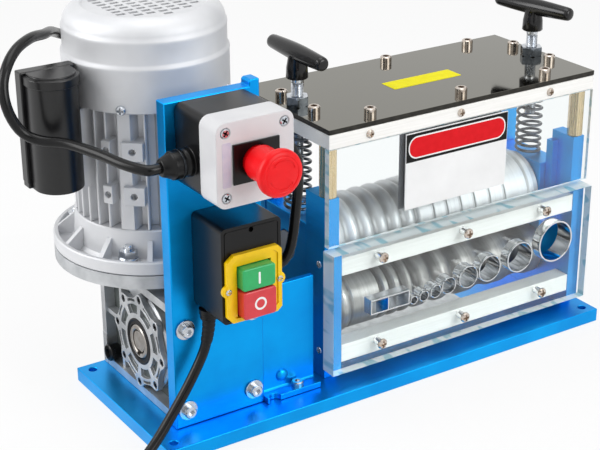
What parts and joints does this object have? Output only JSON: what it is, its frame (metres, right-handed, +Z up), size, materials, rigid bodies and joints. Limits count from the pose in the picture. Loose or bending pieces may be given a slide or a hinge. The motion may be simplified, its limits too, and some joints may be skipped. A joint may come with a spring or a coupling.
{
  "type": "electric wire stripping machine",
  "caption": "Bench machine that strips cable: upright motor and worm gearbox drive grooved rollers behind clear guards with feed tubes, switch box and stop button.",
  "frame": {"origin": "centre of the base plate's underside", "axes": "+X along the base from the motor to the rollers, +Y to the back, +Z up"},
  "size_m": [0.5781, 0.3467, 0.326],
  "materials": {
    "blue_enamel": "satin",
    "cast_aluminium": "matte",
    "motor_silver": "satin",
    "turned_steel": "turned",
    "polished_feed_steel": "polished",
    "spring_steel": "oiled",
    "brass": "satin",
    "pale_aluminium": "satin",
    "polished_plate": "polished",
    "clear_acrylic": "polished",
    "black_plastic": "matte",
    "handle_black": "satin",
    "white_plastic": "satin",
    "sign_white": "gloss",
    "yellow_plastic": "satin",
    "red_plastic": "satin",
    "green_plastic": "satin",
    "black_rubber": "matte"
  },
  "bodies": {
    "machine_frame": {"base_plate": "blue_enamel", "gearbox_housing": "cast_aluminium", "gearbox_cover_left": "cast_aluminium", "gearbox_cover_right": "cast_aluminium", "oil_plug": "black_plastic", "switch_bracket": "blue_enamel", "motor_flange": "motor_silver", "motor_frame": "motor_silver", "fan_cover": "motor_silver", "capacitor_box": "black_plastic", "terminal_box": "black_plastic", "estop_base": "black_plastic", "estop_cover": "white_plastic", "estop_bezel": "black_plastic", "switch_base": "black_plastic", "switch_frame": "yellow_plastic", "coupling_bracket": "blue_enamel", "side_plate_left": "blue_enamel", "side_plate_right": "blue_enamel", "post_front_left": "brass", "post_front_right": "brass", "post_back_right": "brass", "post_back_left": "brass", "top_rail": "pale_aluminium", "top_plate": "polished_plate", "upper_panel": "clear_acrylic", "sign_plate": "sign_white", "lower_guard": "clear_acrylic", "guard_bar_upper": "pale_aluminium", "guard_bar_lower": "pale_aluminium", "flat_feeds": "polished_feed_steel", "feed_tube_1": "polished_feed_steel", "feed_tube_2": "polished_feed_steel", "feed_tube_3": "polished_feed_steel", "feed_tube_4": "polished_feed_steel", "feed_tube_5": "polished_feed_steel", "feed_tube_6": "polished_feed_steel", "feed_tube_7": "polished_feed_steel", "feed_tube_8": "polished_feed_steel", "scrap_tray": "pale_aluminium", "stop_to_motor_lead": "black_rubber", "stop_to_switch_lead": "black_rubber", "mains_cord": "black_rubber", "mains_coil": "black_rubber", "mains_plug": "black_plastic"},
    "lower_roller": {"lower_roller": "turned_steel"},
    "worm_wheel": {"worm_wheel_shaft": "turned_steel"},
    "drive_shaft": {"drive_shaft": "turned_steel"},
    "rotor": {"motor_rotor": "turned_steel", "cooling_fan": "black_plastic"},
    "pressure_head": {"bearing_block_left": "blue_enamel", "bearing_block_right": "blue_enamel", "spring_left": "spring_steel", "spring_right": "spring_steel"},
    "upper_roller": {"upper_roller": "turned_steel"},
    "handle_left": {"t_handle_left": "handle_black"},
    "handle_right": {"t_handle_right": "handle_black"},
    "stop_mushroom": {"estop_button": "red_plastic"},
    "start_push": {"start_button": "green_plastic"},
    "stop_push": {"stop_button": "red_plastic"}
  },
  "joints": [
    {"name": "lower_roller_spin", "type": "hinge", "parent": "machine_frame", "child": "lower_roller", "pos_m": [0.0775, 0.007, 0.051], "axis": [1, 0, 0], "continuous": true},
    {"name": "worm_wheel_spin", "type": "hinge", "parent": "machine_frame", "child": "worm_wheel", "pos_m": [-0.159, 0.007, 0.062], "axis": [1, 0, 0], "continuous": true},
    {"name": "drive_shaft_spin", "type": "hinge", "parent": "machine_frame", "child": "drive_shaft", "pos_m": [-0.1077, 0.007, 0.062], "axis": [0.9654, 0, -0.2609], "continuous": true},
    {"name": "rotor_spin", "type": "hinge", "parent": "machine_frame", "child": "rotor", "pos_m": [-0.159, 0.047, 0.2], "axis": [0, 0, 1], "continuous": true},
    {"name": "head_lift", "type": "slide", "parent": "machine_frame", "child": "pressure_head", "axis": [0, 0, 1], "range_m": [0, 0.036], "stiffness_N_per_m": 2500, "springref_m": -0.012, "deforming": ["spring_left", "spring_right"]},
    {"name": "upper_roller_spin", "type": "hinge", "parent": "pressure_head", "child": "upper_roller", "pos_m": [0.0775, 0.007, 0.112], "axis": [1, 0, 0], "continuous": true},
    {"name": "handle_left_turn", "type": "hinge", "parent": "machine_frame", "child": "handle_left", "pos_m": [-0.0457, 0.007, 0.25], "axis": [0, 0, 1], "continuous": true},
    {"name": "handle_right_turn", "type": "hinge", "parent": "machine_frame", "child": "handle_right", "pos_m": [0.2007, 0.007, 0.25], "axis": [0, 0, 1], "continuous": true},
    {"name": "estop_press", "type": "slide", "parent": "machine_frame", "child": "stop_mushroom", "axis": [0, 1, 0], "range_m": [0, 0.004]},
    {"name": "start_press", "type": "slide", "parent": "machine_frame", "child": "start_push", "axis": [0, 1, 0], "range_m": [0, 0.003], "stiffness_N_per_m": 800, "springref_m": -0.002},
    {"name": "stop_press", "type": "slide", "parent": "machine_frame", "child": "stop_push", "axis": [0, 1, 0], "range_m": [0, 0.003], "stiffness_N_per_m": 800, "springref_m": -0.002}
  ],
  "couplings": [
    {"joint": "worm_wheel_spin", "follows": "lower_roller_spin", "ratio": 1},
    {"joint": "drive_shaft_spin", "follows": "lower_roller_spin", "ratio": 1},
    {"joint": "rotor_spin", "follows": "lower_roller_spin", "ratio": 30}
  ]
}
